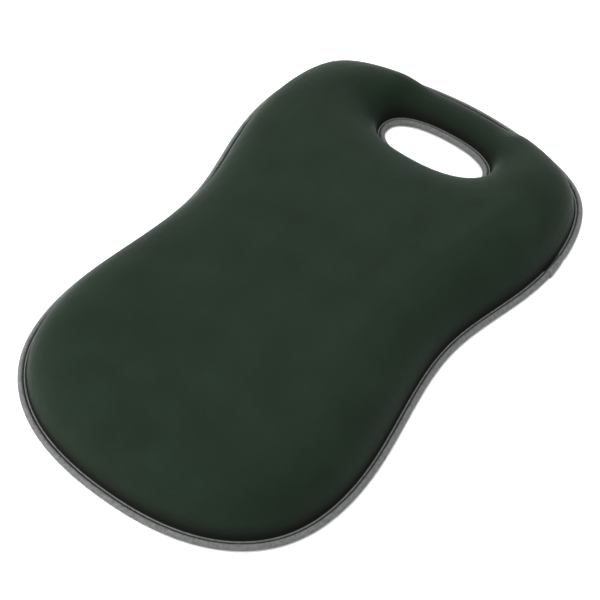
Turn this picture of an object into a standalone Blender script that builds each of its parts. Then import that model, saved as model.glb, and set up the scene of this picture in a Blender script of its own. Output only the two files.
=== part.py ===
"""Garden kneeling pad: an hourglass foam cushion with a hand hole at one end.

A moulded neoprene cover and a flat base panel are sewn together round the outside and round the
hand hole, each seam bound with a folded tape, and two layers of foam fill the space between them.
The frame has its origin under the middle of the pad, +Z up and +Y towards the hand hole.
"""
import math

import bpy
import numpy as np

# Overall size of the sewn edge, and how far the cushion stands up (metres)
PAD_LENGTH = 0.460
PAD_WIDTH = 0.283
PAD_THICKNESS = 0.042

# Hourglass outline: how far each place lies inside the widest half, and behind the nearer end
KNEE_SHOULDER_INSET = 0.0655
KNEE_SHOULDER_SETBACK = 0.0125
KNEE_CORNER_INSET = 0.0165
KNEE_CORNER_SETBACK = 0.054
KNEE_SIDE_INSET = 0.0047
KNEE_SIDE_SETBACK = 0.134
WAIST_INSET = 0.0183
WAIST_SETBACK = 0.218
HANDLE_SIDE_SETBACK = 0.1255
HANDLE_CORNER_INSET = 0.0152
HANDLE_CORNER_SETBACK = 0.0385
HANDLE_SHOULDER_INSET = 0.067
HANDLE_SHOULDER_SETBACK = 0.0095

# Hand hole between its taped edges, and the padded handle beyond it
HAND_HOLE_LENGTH = 0.0895
HAND_HOLE_WIDTH = 0.038
HAND_HOLE_SQUARENESS = 2.3
HAND_HOLE_OFFSET = 0.0020
HANDLE_DEPTH = 0.0440
HANDLE_THICKNESS = 0.0170
HANDLE_FADE = 0.030

# Rounding of the cushion towards the outer edge and towards the hand hole
EDGE_ROUNDING = 0.0455
HOLE_ROUNDING = 0.038
ROUNDING_POWER = 2.0

# Sheet and foam thicknesses
COVER_THICKNESS = 0.0025
COVER_RIM_THICKNESS = 0.0010
BASE_THICKNESS = 0.0020
BASE_RIM_THICKNESS = 0.0009
FIRM_FOAM_THICKNESS = 0.0050
CLEARANCE = 0.0003

# Folded tape round each sewn edge, and its thread
TAPE_THICKNESS = 0.0007
TAPE_REACH = 0.0062
TAPE_LIFT = 0.0009
RIM_SETBACK = 0.0029
RIM_BEND = 0.0050
STITCH_SETBACK = 0.0046
THREAD_DIAMETER = 0.0005

# Mesh density, and where the first ring above a wall's foot lies
OUTLINE_POINTS = 64
GUIDE_POINTS = 1440
SPLINE_STEPS = 200
WALL_STEPS = 4
HOLE_STEPS = 3
CROWN_STEPS = 3
NOSE_STEPS = 4
WALL_SHARE = 0.42
WALL_FOOT = 0.0025
FOOT_SHARE = 0.3
RAY_EVENNESS = 0.5

# Heights of the layers in the sewn edge, from the ground up
BASE_RIM_BOTTOM = TAPE_LIFT + TAPE_THICKNESS + CLEARANCE
BASE_RIM_TOP = BASE_RIM_BOTTOM + BASE_RIM_THICKNESS
COVER_RIM_BOTTOM = BASE_RIM_TOP + CLEARANCE
COVER_RIM_TOP = COVER_RIM_BOTTOM + COVER_RIM_THICKNESS
TAPE_TOP = COVER_RIM_TOP + CLEARANCE + TAPE_THICKNESS
COVER_FOOT = TAPE_REACH + CLEARANCE

NEOPRENE_GREEN = (0.020, 0.031, 0.023)
PANEL_BLACK = (0.018, 0.019, 0.019)
MEMORY_FOAM_CREAM = (0.72, 0.66, 0.48)
FIRM_FOAM_GREY = (0.10, 0.10, 0.11)
TAPE_GREY = (0.21, 0.22, 0.22)
THREAD_GREY = (0.12, 0.125, 0.125)


def clear_scene():
    for item in list(bpy.data.objects):
        bpy.data.objects.remove(item, do_unlink=True)


def make_material(name, colour, roughness):
    material = bpy.data.materials.new(name)
    material.use_nodes = True
    shader = material.node_tree.nodes["Principled BSDF"]
    shader.inputs["Base Color"].default_value = (*colour, 1.0)
    shader.inputs["Roughness"].default_value = roughness
    shader.inputs["Metallic"].default_value = 0.0
    return material


def closed_spline(places, count):
    """Smooth closed curve through the places, as count points evenly spaced along it."""
    places = np.array(places)
    total = len(places)
    chords = np.linalg.norm(np.roll(places, -1, axis=0) - places, axis=1) ** 0.5
    before = np.roll(chords, 1)
    system = np.zeros((total, total))
    slopes = (np.roll(places, -1, axis=0) - places) / chords[:, None]
    right_side = 3.0 * (np.roll(slopes, 1, axis=0) * chords[:, None] + slopes * before[:, None])
    for row in range(total):
        system[row, row] = 2.0 * (chords[row] + before[row])
        system[row, (row - 1) % total] = chords[row]
        system[row, (row + 1) % total] = before[row]
    tangents = np.linalg.solve(system, right_side)
    fine = []
    for row in range(total):
        t = np.linspace(0.0, 1.0, SPLINE_STEPS, endpoint=False)[:, None]
        following = (row + 1) % total
        span = chords[row]
        fine.append((2 * t**3 - 3 * t**2 + 1) * places[row]
                    + (t**3 - 2 * t**2 + t) * span * tangents[row]
                    + (3 * t**2 - 2 * t**3) * places[following]
                    + (t**3 - t**2) * span * tangents[following])
    return resample(np.vstack(fine), np.arange(count) / count)


def resample(loop, shares):
    """Points at the given shares of a closed polyline's length."""
    closed = np.vstack([loop, loop[:1]])
    lengths = np.linalg.norm(np.diff(closed, axis=0), axis=1)
    travel = np.concatenate([[0.0], np.cumsum(lengths)])
    wanted = np.asarray(shares) * travel[-1]
    return np.column_stack([np.interp(wanted, travel, closed[:, axis]) for axis in (0, 1)])


def inward_normals(loop):
    """Unit normals of an anticlockwise loop, pointing to its inside."""
    along = np.roll(loop, -1, axis=0) - np.roll(loop, 1, axis=0)
    along /= np.linalg.norm(along, axis=1)[:, None]
    return np.column_stack([-along[:, 1], along[:, 0]])


def outer_outline(count):
    """Sewn outer edge, anticlockwise from the middle of the handle end."""
    half = PAD_WIDTH / 2
    knee = -PAD_LENGTH / 2
    handle = PAD_LENGTH / 2
    right_half = [
        (half - HANDLE_SHOULDER_INSET, handle - HANDLE_SHOULDER_SETBACK),
        (half - HANDLE_CORNER_INSET, handle - HANDLE_CORNER_SETBACK),
        (half, handle - HANDLE_SIDE_SETBACK),
        (half - WAIST_INSET, handle - WAIST_SETBACK),
        (half - KNEE_SIDE_INSET, knee + KNEE_SIDE_SETBACK),
        (half - KNEE_CORNER_INSET, knee + KNEE_CORNER_SETBACK),
        (half - KNEE_SHOULDER_INSET, knee + KNEE_SHOULDER_SETBACK),
    ]
    left_half = [(-x, y) for x, y in right_half]
    places = [(0.0, handle)] + left_half + [(0.0, knee)] + right_half[::-1]
    return closed_spline(places, count)


def hole_centre():
    return np.array([HAND_HOLE_OFFSET, PAD_LENGTH / 2 - HANDLE_DEPTH - HAND_HOLE_WIDTH / 2])


def hole_outline_at(angles):
    """Point of the hand hole's rounded outline in each direction from its centre."""
    side = np.abs(np.cos(angles)) / (HAND_HOLE_LENGTH / 2)
    depth = np.abs(np.sin(angles)) / (HAND_HOLE_WIDTH / 2)
    reach = (side**HAND_HOLE_SQUARENESS + depth**HAND_HOLE_SQUARENESS) ** (-1 / HAND_HOLE_SQUARENESS)
    return hole_centre() + np.column_stack([reach * np.cos(angles), reach * np.sin(angles)])


def hole_outline(outer):
    """Hand hole's edge, one point for each point of the outer edge, facing it."""
    even = hole_outline_at(math.pi / 2 + np.arange(GUIDE_POINTS) * 2 * math.pi / GUIDE_POINTS)
    towards = outer - hole_centre()
    facing = np.unwrap(np.arctan2(towards[:, 1], towards[:, 0]))
    turns = (facing - facing[0]) / (2 * math.pi)
    closed = np.vstack([even, even[:1]])
    lengths = np.linalg.norm(np.diff(closed, axis=0), axis=1)
    travel = np.concatenate([[0.0], np.cumsum(lengths)])
    faced = np.interp(turns, np.arange(GUIDE_POINTS + 1) / GUIDE_POINTS, travel / travel[-1])
    spread = np.arange(len(outer)) / len(outer)
    return resample(even, RAY_EVENNESS * spread + (1 - RAY_EVENNESS) * faced)


class Pad:
    """Plan curves that every piece shares."""

    def __init__(self):
        self.outer = outer_outline(OUTLINE_POINTS)
        self.outer_in = inward_normals(self.outer)
        self.hole = hole_outline(self.outer)
        self.hole_out = -inward_normals(self.hole)
        self.outer_guide = outer_outline(GUIDE_POINTS)
        angles = np.arange(GUIDE_POINTS) * 2 * math.pi / GUIDE_POINTS
        self.hole_guide = hole_outline_at(angles)

    def outer_ring(self, distance, height):
        plan = self.outer + self.outer_in * distance
        return np.column_stack([plan, np.full(len(plan), height)])

    def hole_ring(self, distance, height):
        plan = self.hole + self.hole_out * distance
        return np.column_stack([plan, np.full(len(plan), height)])

    def along_rays(self, foot, travel):
        """Plan points a travel along the rays that cross from the outer foot to the hand hole's."""
        start = self.outer + self.outer_in * foot
        finish = self.hole + self.hole_out * foot
        length = np.linalg.norm(finish - start, axis=1)
        t = (travel / length)[:, None]
        pull = length[:, None]
        return ((2 * t**3 - 3 * t**2 + 1) * start + (t**3 - 2 * t**2 + t) * pull * self.outer_in
                + (3 * t**2 - 2 * t**3) * finish - (t**3 - t**2) * pull * self.hole_out)

    def cushion_plans(self, foot):
        """Plan rings between the two feet, closest together where the cushion is steep."""
        start = self.outer + self.outer_in * foot
        finish = self.hole + self.hole_out * foot
        length = np.linalg.norm(finish - start, axis=1)
        outer_width = np.minimum(EDGE_ROUNDING + COVER_FOOT - foot, WALL_SHARE * length)
        hole_width = np.minimum(HOLE_ROUNDING + COVER_FOOT - foot, WALL_SHARE * length)
        middle = length - outer_width - hole_width
        travels = [WALL_FOOT + (outer_width - WALL_FOOT) * share for share in wall_shares(WALL_STEPS)]
        travels += [outer_width + middle * step / CROWN_STEPS for step in range(1, CROWN_STEPS)]
        travels += [length - WALL_FOOT - (hole_width - WALL_FOOT) * share
                    for share in reversed(wall_shares(HOLE_STEPS))]
        return [self.along_rays(foot, travel) for travel in travels]

    def cushion_ring(self, plan, inset, drop=0.0):
        return np.column_stack([plan, self.cushion_height(plan, inset) - drop])

    def cushion_height(self, plan, inset):
        """Height of the cushion's surface, or of the surface that lies an inset inside it."""
        past_outer = nearest(plan, self.outer_guide) - COVER_FOOT - inset
        past_hole = nearest(plan, self.hole_guide) - COVER_FOOT - inset
        rise = rounding(past_outer / (EDGE_ROUNDING - inset)) * rounding(past_hole / (HOLE_ROUNDING - inset))
        return COVER_RIM_TOP + (crown_height(plan) - COVER_RIM_TOP - inset) * rise


def nearest(plan, guide):
    gaps = plan[:, None, :] - guide[None, :, :]
    return np.sqrt((gaps**2).sum(axis=2).min(axis=1))


def rounding(share):
    """Rise of the rounded wall, from 0 at its foot to 1 where the top is level."""
    share = np.clip(share, 0.0, 1.0)
    return (1 - (1 - share) ** ROUNDING_POWER) ** (1 / ROUNDING_POWER)


def smooth_step(value):
    value = np.clip(value, 0.0, 1.0)
    return value * value * (3 - 2 * value)


def crown_height(plan):
    """Full thickness over the cushion, easing down to the thinner handle past the hand hole."""
    strip = HANDLE_DEPTH / 2 - COVER_FOOT
    middle_rise = rounding(strip / EDGE_ROUNDING) * rounding(strip / HOLE_ROUNDING)
    handle_crown = COVER_RIM_TOP + (HANDLE_THICKNESS - COVER_RIM_TOP) / middle_rise
    past = plan - hole_centre()
    sideways = smooth_step((HAND_HOLE_LENGTH / 2 + HANDLE_FADE / 2 - np.abs(past[:, 0])) / HANDLE_FADE)
    beyond = smooth_step(past[:, 1] / (HAND_HOLE_WIDTH / 2 + COVER_FOOT))
    return PAD_THICKNESS - (PAD_THICKNESS - handle_crown) * sideways * beyond


def enclosed_area(ring):
    following = np.roll(ring, -1, axis=0)
    return abs(np.sum(ring[:, 0] * following[:, 1] - following[:, 0] * ring[:, 1])) / 2


def lofted_solid(name, rings, material, collection):
    """One closed solid skinned over rings of equal count, the last ring joining the first.

    Each four-sided patch is split from its wider ring's earlier point, so that two pieces lofted
    over the same plan follow each other exactly.
    """
    count = len(rings[0])
    vertices = [tuple(point) for ring in rings for point in ring]
    faces = []
    for ring, points in enumerate(rings):
        following = (ring + 1) % len(rings)
        narrowing = enclosed_area(points) >= enclosed_area(rings[following])
        for place in range(count):
            after = (place + 1) % count
            near = (ring * count + place, ring * count + after)
            far = (following * count + place, following * count + after)
            if narrowing:
                faces += [(near[0], near[1], far[1]), (near[0], far[1], far[0])]
            else:
                faces += [(near[0], near[1], far[0]), (near[1], far[1], far[0])]
    mesh = bpy.data.meshes.new(name)
    mesh.from_pydata(vertices, [], faces)
    mesh.materials.append(material)
    mesh.shade_smooth()
    mesh.set_sharp_from_angle(angle=math.radians(40))
    solid = bpy.data.objects.new(name, mesh)
    collection.objects.link(solid)
    return solid


def wall_shares(steps):
    """Shares of a rounding's width, from 0 to 1, closest together where it starts to rise."""
    return [1 - math.cos(step / steps * math.pi / 2) for step in range(steps + 1)]


def cover_surface(pad, foot, inset, rim_height):
    """Rings over one face of the cover, from its outer rim to its rim in the hand hole."""
    low_outer = pad.outer + pad.outer_in * (foot + WALL_FOOT * FOOT_SHARE)
    low_hole = pad.hole + pad.hole_out * (foot + WALL_FOOT * FOOT_SHARE)
    plans = [low_outer] + pad.cushion_plans(foot) + [low_hole]
    rings = [pad.outer_ring(RIM_SETBACK, rim_height), pad.outer_ring(foot, rim_height)]
    rings += [pad.cushion_ring(plan, inset) for plan in plans]
    rings += [pad.hole_ring(foot, rim_height), pad.hole_ring(RIM_SETBACK, rim_height)]
    return rings


def make_top_cover(pad, material, collection):
    """Moulded neoprene cover: a domed sheet with a flat rim in each sewn edge."""
    outside = cover_surface(pad, COVER_FOOT, 0.0, COVER_RIM_TOP)
    inside = cover_surface(pad, COVER_FOOT + COVER_THICKNESS, COVER_THICKNESS, COVER_RIM_BOTTOM)
    return lofted_solid("top_cover", outside + inside[::-1], material, collection)


def make_base_panel(pad, material, collection):
    """Flat sheet under the pad, with its rims turned up into the sewn edges."""
    flat = COVER_FOOT + RIM_BEND
    under = [
        pad.outer_ring(RIM_SETBACK, BASE_RIM_BOTTOM),
        pad.outer_ring(COVER_FOOT, BASE_RIM_BOTTOM),
        pad.outer_ring(flat, 0.0),
        pad.hole_ring(flat, 0.0),
        pad.hole_ring(COVER_FOOT, BASE_RIM_BOTTOM),
        pad.hole_ring(RIM_SETBACK, BASE_RIM_BOTTOM),
    ]
    over = [
        pad.outer_ring(RIM_SETBACK, BASE_RIM_TOP),
        pad.outer_ring(COVER_FOOT, BASE_RIM_TOP),
        pad.outer_ring(flat, BASE_THICKNESS),
        pad.hole_ring(flat, BASE_THICKNESS),
        pad.hole_ring(COVER_FOOT, BASE_RIM_TOP),
        pad.hole_ring(RIM_SETBACK, BASE_RIM_TOP),
    ]
    return lofted_solid("base_panel", over + under[::-1], material, collection)


def make_firm_foam(pad, material, collection):
    """Thin slab of firm foam that lies on the base panel, inside its bent rims."""
    bottom = BASE_THICKNESS + CLEARANCE
    top = bottom + FIRM_FOAM_THICKNESS
    wall = COVER_FOOT + max(COVER_THICKNESS, RIM_BEND) + CLEARANCE
    rings = [
        pad.outer_ring(wall, top),
        pad.hole_ring(wall, top),
        pad.hole_ring(wall, bottom),
        pad.outer_ring(wall, bottom),
    ]
    return lofted_solid("firm_foam_base", rings, material, collection)


def make_memory_foam(pad, material, collection):
    """Thick soft foam that fills the domed cover above the firm slab."""
    bottom = BASE_THICKNESS + FIRM_FOAM_THICKNESS + 2 * CLEARANCE
    plans = pad.cushion_plans(COVER_FOOT + COVER_THICKNESS)
    low = np.full(len(plans[0]), bottom)
    rings = [np.column_stack([plans[0], low])]
    rings += [pad.cushion_ring(plan, COVER_THICKNESS, CLEARANCE) for plan in plans]
    rings += [np.column_stack([plans[-1], low])]
    return lofted_solid("memory_foam_layer", rings, material, collection)


def tape_section():
    """Folded tape's section as distance from the edge and height, once round its U shape."""
    nose = (TAPE_TOP - TAPE_LIFT) / 2
    middle = TAPE_LIFT + nose
    inner = nose - TAPE_THICKNESS
    section = [(TAPE_REACH, TAPE_LIFT)]
    for step in range(NOSE_STEPS + 1):
        turn = -math.pi / 2 + math.pi * step / NOSE_STEPS
        section.append((nose - nose * math.cos(turn), middle + nose * math.sin(turn)))
    section.append((TAPE_REACH, TAPE_TOP))
    section.append((TAPE_REACH, TAPE_TOP - TAPE_THICKNESS))
    for turn in (math.pi / 2, 0.0, -math.pi / 2):
        section.append((nose - inner * math.cos(turn), middle + inner * math.sin(turn)))
    section.append((TAPE_REACH, TAPE_LIFT + TAPE_THICKNESS))
    return section


def make_edge_tape(pad, material, collection):
    rings = [pad.outer_ring(distance, height) for distance, height in tape_section()]
    return lofted_solid("edge_binding", rings, material, collection)


def make_hole_tape(pad, material, collection):
    rings = [pad.hole_ring(distance, height) for distance, height in tape_section()]
    return lofted_solid("hand_hole_binding", rings[::-1], material, collection)


def make_thread(name, ring, material, collection):
    """Line of thread along one seam."""
    curve = bpy.data.curves.new(name, "CURVE")
    curve.dimensions = "3D"
    curve.bevel_depth = THREAD_DIAMETER / 2
    curve.bevel_resolution = 0
    spline = curve.splines.new("POLY")
    spline.points.add(len(ring) - 1)
    for point, place in zip(spline.points, ring):
        point.co = (*place, 1.0)
    spline.use_cyclic_u = True
    curve.materials.append(material)
    thread = bpy.data.objects.new(name, curve)
    collection.objects.link(thread)
    return thread


def make_threads(pad, material, collection):
    """Needle thread on top of each tape and bobbin thread under it."""
    over = TAPE_TOP + CLEARANCE + THREAD_DIAMETER / 2
    under = TAPE_LIFT - CLEARANCE - THREAD_DIAMETER / 2
    make_thread("edge_needle_thread", pad.outer_ring(STITCH_SETBACK, over), material, collection)
    make_thread("edge_bobbin_thread", pad.outer_ring(STITCH_SETBACK, under), material, collection)
    make_thread("hole_needle_thread", pad.hole_ring(STITCH_SETBACK, over), material, collection)
    make_thread("hole_bobbin_thread", pad.hole_ring(STITCH_SETBACK, under), material, collection)


def main():
    clear_scene()
    collection = bpy.data.collections.new("kneeling_pad")
    bpy.context.scene.collection.children.link(collection)
    pad = Pad()
    make_top_cover(pad, make_material("neoprene_green", NEOPRENE_GREEN, 0.8), collection)
    make_memory_foam(pad, make_material("memory_foam", MEMORY_FOAM_CREAM, 0.9), collection)
    make_firm_foam(pad, make_material("firm_foam", FIRM_FOAM_GREY, 0.85), collection)
    make_base_panel(pad, make_material("panel_black", PANEL_BLACK, 0.9), collection)
    tape = make_material("binding_tape", TAPE_GREY, 0.7)
    make_edge_tape(pad, tape, collection)
    make_hole_tape(pad, tape, collection)
    make_threads(pad, make_material("thread_grey", THREAD_GREY, 0.6), collection)


main()
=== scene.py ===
"""Garden kneeling pad: its finished pieces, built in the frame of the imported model."""

import math

import bmesh
import bpy
import numpy as np
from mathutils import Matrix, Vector


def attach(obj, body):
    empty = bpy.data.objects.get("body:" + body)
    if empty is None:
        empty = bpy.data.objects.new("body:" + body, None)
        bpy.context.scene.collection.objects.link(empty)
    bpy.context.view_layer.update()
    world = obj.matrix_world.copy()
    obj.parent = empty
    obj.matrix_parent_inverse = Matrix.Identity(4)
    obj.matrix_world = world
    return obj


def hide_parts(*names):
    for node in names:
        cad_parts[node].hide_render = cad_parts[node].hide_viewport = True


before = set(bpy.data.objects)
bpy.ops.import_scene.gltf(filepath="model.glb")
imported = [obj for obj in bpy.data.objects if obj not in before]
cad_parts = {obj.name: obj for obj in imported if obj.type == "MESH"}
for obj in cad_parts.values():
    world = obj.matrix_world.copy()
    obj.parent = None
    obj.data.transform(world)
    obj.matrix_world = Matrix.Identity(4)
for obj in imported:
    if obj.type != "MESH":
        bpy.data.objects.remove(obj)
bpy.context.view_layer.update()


# ---- Camera ---------------------------------------------------------------------------------
# A long portrait lens looks down on the pad from beyond its knee end, from a little to the right.

CAMERA_AZIMUTH = math.radians(37.352)
CAMERA_ELEVATION = math.radians(52.975)
CAMERA_DISTANCE = 1.0864
CAMERA_TARGET = Vector((0.0049, -0.0135, 0.0))
CAMERA_LENS_MM = 87.3

towards_camera = Vector((
    math.sin(CAMERA_AZIMUTH) * math.cos(CAMERA_ELEVATION),
    -math.cos(CAMERA_AZIMUTH) * math.cos(CAMERA_ELEVATION),
    math.sin(CAMERA_ELEVATION),
))
camera = bpy.data.objects.new("camera", bpy.data.cameras.new("camera"))
camera.data.lens = CAMERA_LENS_MM
camera.location = CAMERA_TARGET + towards_camera * CAMERA_DISTANCE
camera.rotation_mode = "QUATERNION"
camera.rotation_quaternion = (-towards_camera).to_track_quat("-Z", "Y")
bpy.context.scene.collection.objects.link(camera)
bpy.context.scene.camera = camera


# ---- Studio ---------------------------------------------------------------------------------
# A wide white table in a dim room, with soft lamps round it: a strong one overhead, fair ones on
# the pad's left, behind it and in front, and weak ones on its right.

TABLE_HALF_WIDTH = 4.0
TABLE_WHITE = (0.95, 0.95, 0.95)
ROOM_COLOUR = (1.0, 1.0, 1.0)
ROOM_STRENGTH = 0.12
LAMP_WIDTH = 1.1
LAMPS = [
    ("top_lamp", Vector((0.1, -0.1, 1.6)), 25.0),
    ("left_lamp", Vector((-1.0, -0.65, 0.65)), 16.0),
    ("far_left_lamp", Vector((-0.7, 1.4, 0.7)), 20.0),
    ("far_right_lamp", Vector((0.9, 1.3, 0.6)), 9.0),
    ("right_lamp", Vector((1.3, 0.3, 0.9)), 3.0),
    ("front_lamp", Vector((-0.3, -1.2, 0.9)), 15.0),
    ("near_lamp", Vector((0.55, -0.7, 1.3)), 4.0),
]


def add_node(tree, kind, inputs=(), **settings):
    """New node with its settings, each input given as a value or as another node's output."""
    node = tree.nodes.new(kind)
    for name, value in settings.items():
        setattr(node, name, value)
    for name, value in dict(inputs).items():
        if isinstance(value, bpy.types.NodeSocket):
            tree.links.new(value, node.inputs[name])
        else:
            node.inputs[name].default_value = value
    return node


def new_finish(name, roughness):
    """Empty material, its tree, its shader and the coordinates of the object that wears it."""
    material = bpy.data.materials.new(name)
    material.use_nodes = True
    tree = material.node_tree
    shader = tree.nodes["Principled BSDF"]
    shader.inputs["Roughness"].default_value = roughness
    place = add_node(tree, "ShaderNodeTexCoord").outputs["Object"]
    return material, tree, shader, place


table_material, _, table_shader, _ = new_finish("white_table", 0.9)
table_shader.inputs["Base Color"].default_value = (*TABLE_WHITE, 1.0)
table_mesh = bpy.data.meshes.new("table")
table_corners = [(-1, -1), (1, -1), (1, 1), (-1, 1)]
table_mesh.from_pydata(
    [(x * TABLE_HALF_WIDTH, y * TABLE_HALF_WIDTH, 0.0) for x, y in table_corners], [], [(0, 1, 2, 3)])
table_mesh.materials.append(table_material)
table = bpy.data.objects.new("table", table_mesh)
bpy.context.scene.collection.objects.link(table)

world = bpy.data.worlds.new("studio")
world.use_nodes = True
world.node_tree.nodes["Background"].inputs["Color"].default_value = (*ROOM_COLOUR, 1.0)
world.node_tree.nodes["Background"].inputs["Strength"].default_value = ROOM_STRENGTH
bpy.context.scene.world = world
bpy.context.scene.view_settings.view_transform = "Standard"

for name, lamp_place, watts in LAMPS:
    lamp = bpy.data.objects.new(name, bpy.data.lights.new(name, "AREA"))
    lamp.data.size = LAMP_WIDTH
    lamp.data.energy = watts
    lamp.location = lamp_place
    lamp.rotation_euler = (-lamp_place).to_track_quat("-Z", "Y").to_euler()
    bpy.context.scene.collection.objects.link(lamp)


# ---- Base panel -----------------------------------------------------------------------------
# Sheet of black non-slip neoprene that closes the pad from below. It is cut to the pad's outline
# and hand hole, lies flat on the ground, and turns up where the bindings clamp its rims.

PAD_LENGTH = 0.460
PAD_WIDTH = 0.283
PAD_THICKNESS = 0.042

KNEE_SHOULDER_INSET = 0.0655
KNEE_SHOULDER_SETBACK = 0.0125
KNEE_CORNER_INSET = 0.0165
KNEE_CORNER_SETBACK = 0.054
KNEE_SIDE_INSET = 0.0047
KNEE_SIDE_SETBACK = 0.134
WAIST_INSET = 0.0183
WAIST_SETBACK = 0.218
HANDLE_SIDE_SETBACK = 0.1255
HANDLE_CORNER_INSET = 0.0152
HANDLE_CORNER_SETBACK = 0.0385
HANDLE_SHOULDER_INSET = 0.067
HANDLE_SHOULDER_SETBACK = 0.0095

HAND_HOLE_LENGTH = 0.0895
HAND_HOLE_WIDTH = 0.038
HAND_HOLE_SQUARENESS = 2.3
HAND_HOLE_OFFSET = 0.0020
HANDLE_DEPTH = 0.0440

OUTLINE_POINTS = 192
GUIDE_POINTS = 1440
SPLINE_STEPS = 200
RAY_EVENNESS = 0.5

RIM_SETBACK = 0.0029
SEAM_WIDTH = 0.0065
PANEL_THICKNESS = 0.0020
PANEL_RIM_BOTTOM = 0.0019
PANEL_RIM_TOP = 0.0028
PANEL_BEND = 0.0050
PANEL_BEND_STEPS = 5
PANEL_CROSS_STEPS = 10

PANEL_DARK = (0.010, 0.010, 0.011)
PANEL_LIGHT = (0.026, 0.026, 0.027)
GRIP_DOT_SPACING = 0.0030
GRIP_DOT_HEIGHT = 0.0003
GRIP_DOT_FOOT = 0.36
GRIP_DOT_CREST = 0.22
PANEL_BLOTCH_SCALE = 35.0
PANEL_GRAIN_SCALE = 1400.0
PANEL_GRAIN_HEIGHT = 0.00006


def resample(loop, shares):
    """Points at the given shares of a closed line's length."""
    closed = np.vstack([loop, loop[:1]])
    lengths = np.linalg.norm(np.diff(closed, axis=0), axis=1)
    travel = np.concatenate([[0.0], np.cumsum(lengths)])
    wanted = np.asarray(shares) * travel[-1]
    return np.column_stack([np.interp(wanted, travel, closed[:, axis]) for axis in (0, 1)])


def closed_spline(places, count):
    """Smooth closed curve through the places, as evenly spaced points."""
    places = np.array(places)
    total = len(places)
    spans = np.linalg.norm(np.roll(places, -1, axis=0) - places, axis=1) ** 0.5
    before = np.roll(spans, 1)
    slopes = (np.roll(places, -1, axis=0) - places) / spans[:, None]
    right_side = 3.0 * (np.roll(slopes, 1, axis=0) * spans[:, None] + slopes * before[:, None])
    system = np.zeros((total, total))
    for row in range(total):
        system[row, row] = 2.0 * (spans[row] + before[row])
        system[row, (row - 1) % total] = spans[row]
        system[row, (row + 1) % total] = before[row]
    tangents = np.linalg.solve(system, right_side)
    t = np.linspace(0.0, 1.0, SPLINE_STEPS, endpoint=False)[:, None]
    fine = []
    for row in range(total):
        following = (row + 1) % total
        fine.append((2 * t**3 - 3 * t**2 + 1) * places[row]
                    + (t**3 - 2 * t**2 + t) * spans[row] * tangents[row]
                    + (3 * t**2 - 2 * t**3) * places[following]
                    + (t**3 - t**2) * spans[row] * tangents[following])
    return resample(np.vstack(fine), np.arange(count) / count)


def outer_outline(count):
    """Sewn outer edge, anticlockwise from the middle of the handle end."""
    half = PAD_WIDTH / 2
    knee = -PAD_LENGTH / 2
    handle = PAD_LENGTH / 2
    right_half = [
        (half - HANDLE_SHOULDER_INSET, handle - HANDLE_SHOULDER_SETBACK),
        (half - HANDLE_CORNER_INSET, handle - HANDLE_CORNER_SETBACK),
        (half, handle - HANDLE_SIDE_SETBACK),
        (half - WAIST_INSET, handle - WAIST_SETBACK),
        (half - KNEE_SIDE_INSET, knee + KNEE_SIDE_SETBACK),
        (half - KNEE_CORNER_INSET, knee + KNEE_CORNER_SETBACK),
        (half - KNEE_SHOULDER_INSET, knee + KNEE_SHOULDER_SETBACK),
    ]
    left_half = [(-x, y) for x, y in right_half]
    return closed_spline([(0.0, handle)] + left_half + [(0.0, knee)] + right_half[::-1], count)


HOLE_CENTRE = np.array([HAND_HOLE_OFFSET, PAD_LENGTH / 2 - HANDLE_DEPTH - HAND_HOLE_WIDTH / 2])


def hole_outline_at(angles):
    """Point of the hand hole's rounded edge in each direction from its centre."""
    side = np.abs(np.cos(angles)) / (HAND_HOLE_LENGTH / 2)
    depth = np.abs(np.sin(angles)) / (HAND_HOLE_WIDTH / 2)
    reach = (side**HAND_HOLE_SQUARENESS + depth**HAND_HOLE_SQUARENESS) ** (-1 / HAND_HOLE_SQUARENESS)
    return HOLE_CENTRE + np.column_stack([reach * np.cos(angles), reach * np.sin(angles)])


def facing_hole_outline(outer):
    """Hand hole's edge, with one point to face each point of the outer edge."""
    even = hole_outline_at(math.pi / 2 + np.arange(GUIDE_POINTS) * 2 * math.pi / GUIDE_POINTS)
    towards = outer - HOLE_CENTRE
    facing = np.unwrap(np.arctan2(towards[:, 1], towards[:, 0]))
    turns = (facing - facing[0]) / (2 * math.pi)
    closed = np.vstack([even, even[:1]])
    travel = np.concatenate([[0.0], np.cumsum(np.linalg.norm(np.diff(closed, axis=0), axis=1))])
    faced = np.interp(turns, np.arange(GUIDE_POINTS + 1) / GUIDE_POINTS, travel / travel[-1])
    spread = np.arange(len(outer)) / len(outer)
    return resample(even, RAY_EVENNESS * spread + (1 - RAY_EVENNESS) * faced)


def inward_normals(loop):
    """Unit normals of an anticlockwise loop, towards its inside."""
    along = np.roll(loop, -1, axis=0) - np.roll(loop, 1, axis=0)
    along /= np.linalg.norm(along, axis=1)[:, None]
    return np.column_stack([-along[:, 1], along[:, 0]])


outer_edge = outer_outline(OUTLINE_POINTS)
outer_inwards = inward_normals(outer_edge)
hole_edge = facing_hole_outline(outer_edge)
hole_outwards = -inward_normals(hole_edge)


def outer_ring(distance, height):
    """Ring at one distance inside the outer edge."""
    return np.column_stack([outer_edge + outer_inwards * distance, np.full(OUTLINE_POINTS, height)])


def hole_ring(distance, height):
    """Ring at one distance from the edge of the hand hole."""
    return np.column_stack([hole_edge + hole_outwards * distance, np.full(OUTLINE_POINTS, height)])


def along_rays(foot, travel):
    """Plan points a travel along the curved rays from the outer foot to the hand hole's foot."""
    start = outer_edge + outer_inwards * foot
    finish = hole_edge + hole_outwards * foot
    pull = np.linalg.norm(finish - start, axis=1)[:, None]
    t = np.reshape(travel, (-1, 1)) / pull
    return ((2 * t**3 - 3 * t**2 + 1) * start + (t**3 - 2 * t**2 + t) * pull * outer_inwards
            + (3 * t**2 - 2 * t**3) * finish - (t**3 - t**2) * pull * hole_outwards)


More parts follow.
